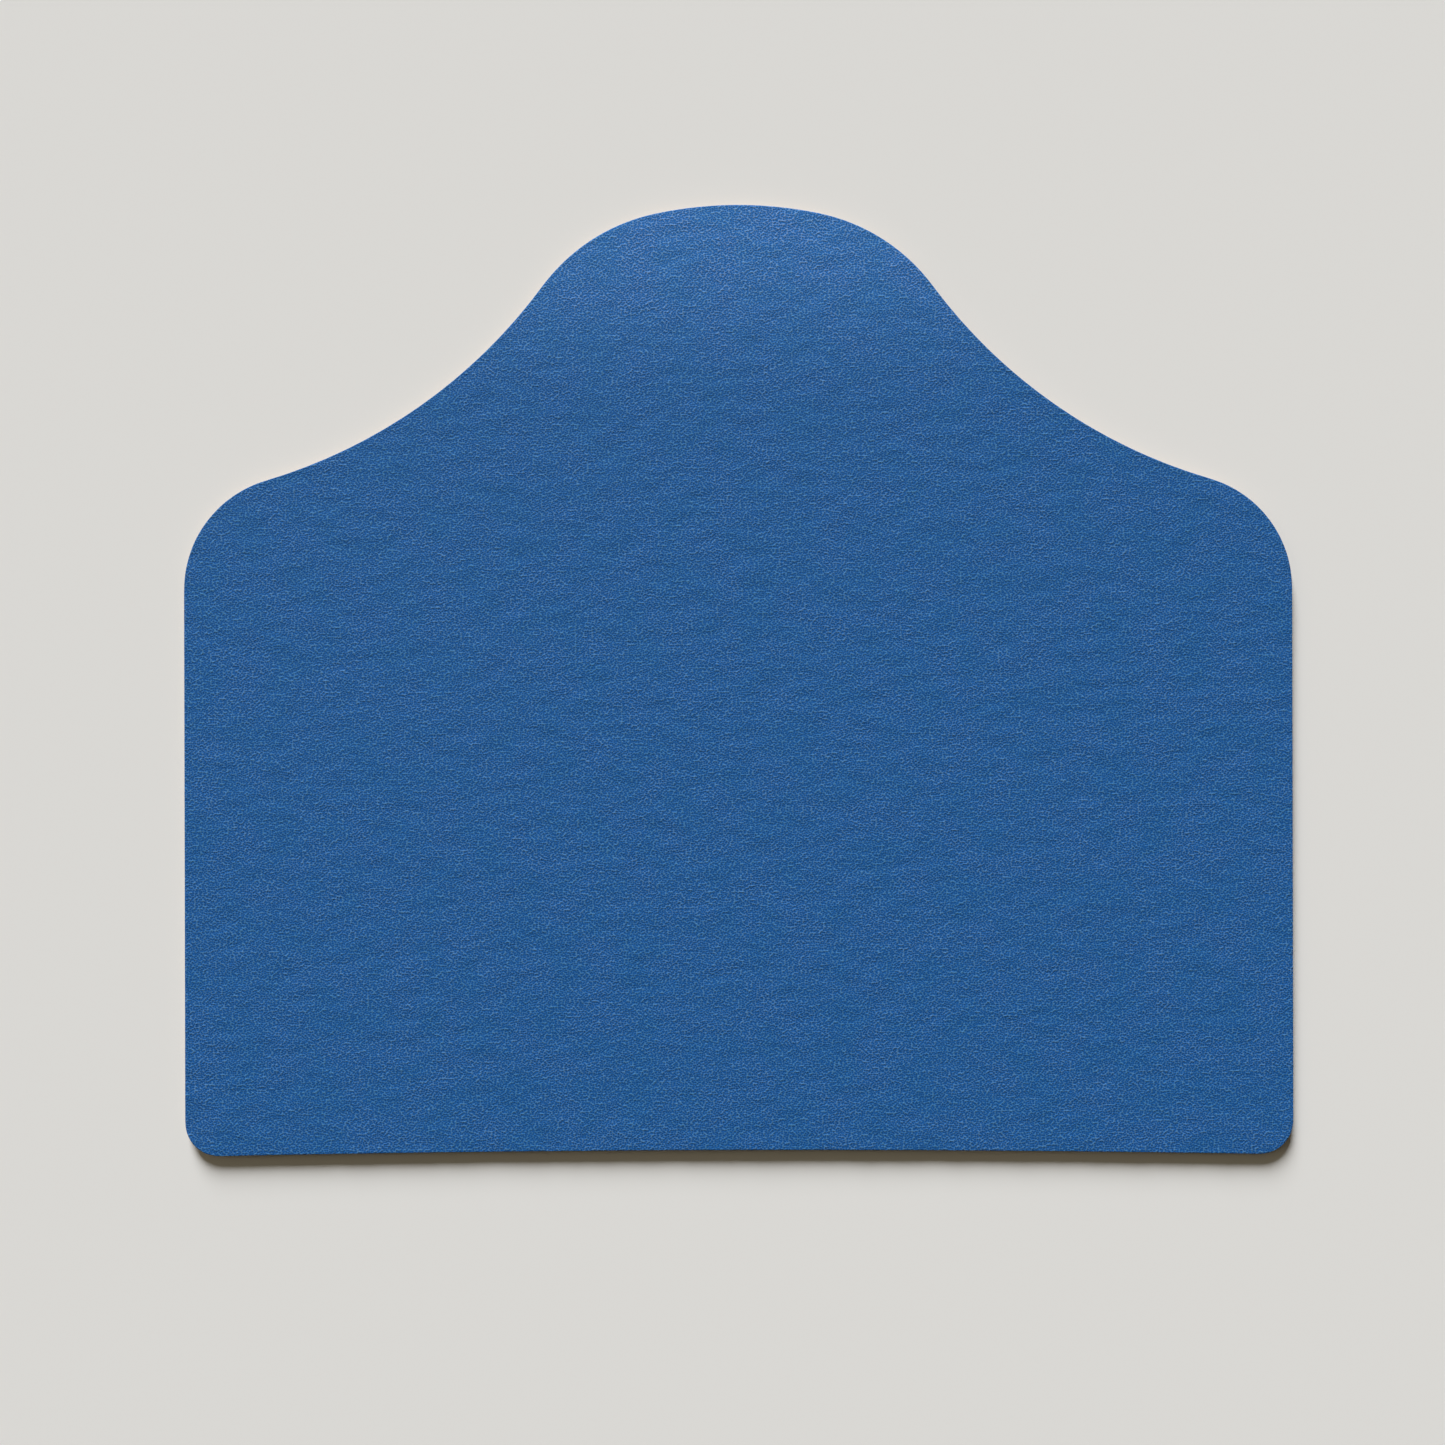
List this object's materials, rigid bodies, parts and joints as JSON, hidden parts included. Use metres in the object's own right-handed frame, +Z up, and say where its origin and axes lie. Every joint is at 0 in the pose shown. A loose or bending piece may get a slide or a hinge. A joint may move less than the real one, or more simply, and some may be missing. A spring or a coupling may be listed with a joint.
{
  "type": "table mat",
  "caption": "Flat bell-shaped table mat with a blue leather-grain face on a brown fibre core and a soft backing, all layers cut flush.",
  "frame": {"origin": "middle of the underside, halfway across the width and halfway from the front corners to the top of the dome", "axes": "+X along the width, +Y from the straight front edge to the dome at the back, +Z up out of the face"},
  "size_m": [0.4, 0.343, 0.003],
  "materials": {
    "face": "blue, fine pebbled leather grain, satin",
    "adhesive": "cured amber adhesive film",
    "core": "brown bonded leather fibre, raw cut edge",
    "backing": "brown brushed suede-like backing"
  },
  "bodies": {
    "root": {"face_sheet": "face", "face_film": "adhesive", "core_board": "core", "backing_film": "adhesive", "backing_sheet": "backing"}
  },
  "joints": []
}
